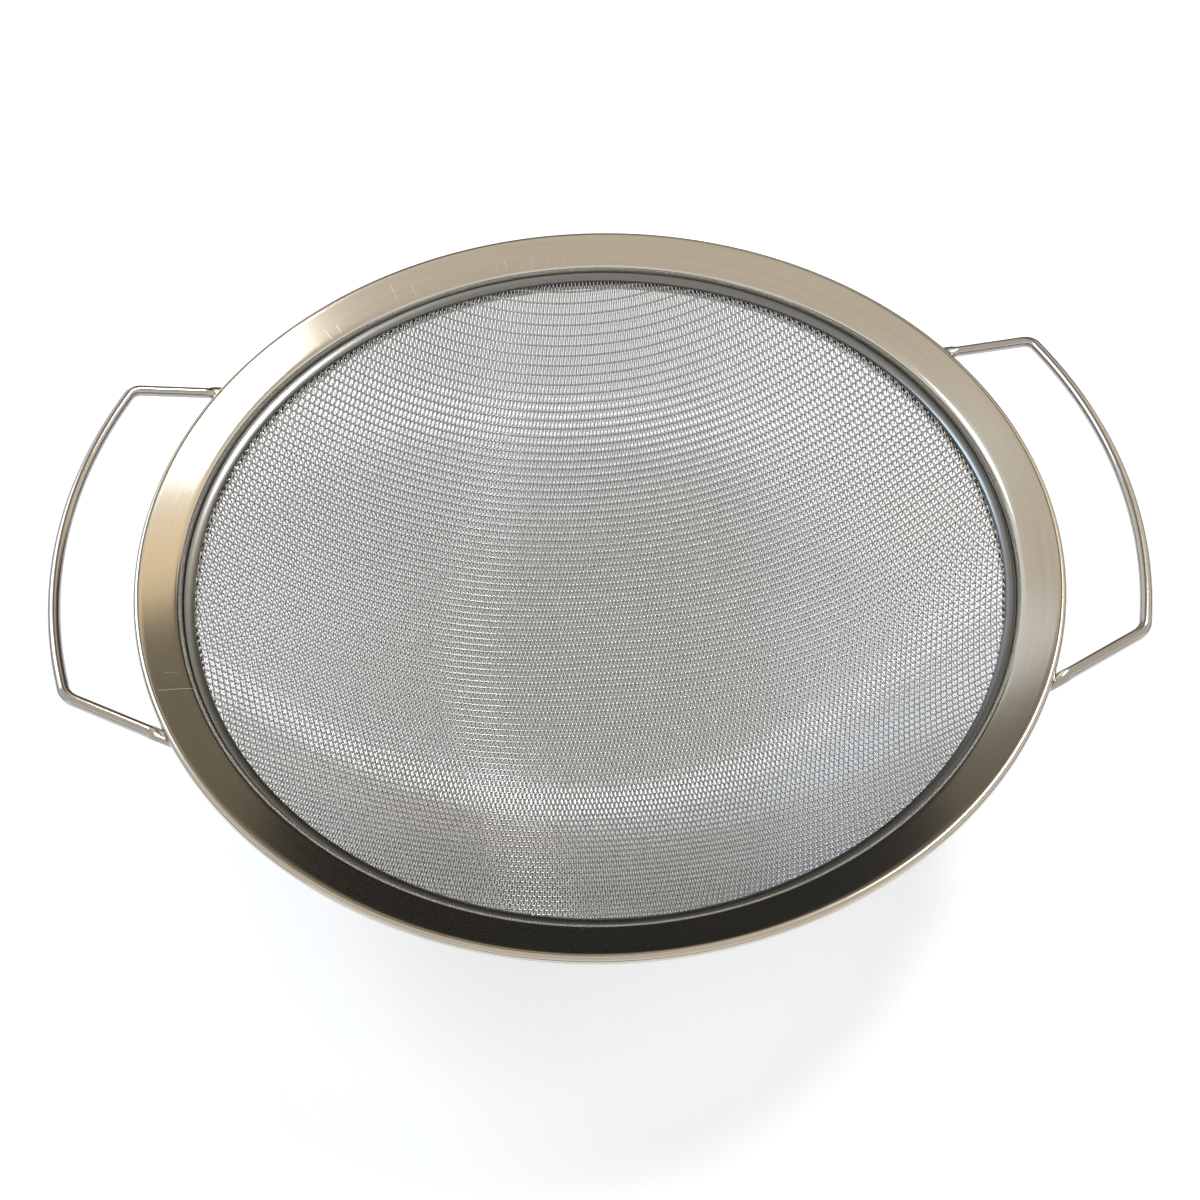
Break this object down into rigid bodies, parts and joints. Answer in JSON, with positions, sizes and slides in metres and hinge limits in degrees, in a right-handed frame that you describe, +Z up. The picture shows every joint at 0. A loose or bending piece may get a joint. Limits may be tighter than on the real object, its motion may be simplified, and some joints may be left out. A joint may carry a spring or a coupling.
{
  "type": "two-handled bowl sieve",
  "caption": "Round fine-mesh sieve: woven wire-cloth bowl clamped in a wide sloping steel rim, with a bent-wire loop handle welded under each side.",
  "frame": {"origin": "on the bowl's axis, on the surface that the bowl's flat bottom stands on, which is the bottom centre of the box", "axes": "+Z up along the bowl's axis, +X through the two handles, -Y towards the picture's camera"},
  "size_m": [0.276, 0.24, 0.0732],
  "materials": {
    "rim_steel": "brushed round the ring, with fine scratches",
    "clamp_steel": "satin",
    "wire_cloth": "bright drawn wire, woven",
    "handle_wire": "polished round wire"
  },
  "bodies": {
    "root": {"rim_ring": "rim_steel", "clamp_ring": "clamp_steel", "mesh_bowl": "wire_cloth", "handle_right": "handle_wire", "handle_left": "handle_wire"}
  },
  "joints": []
}
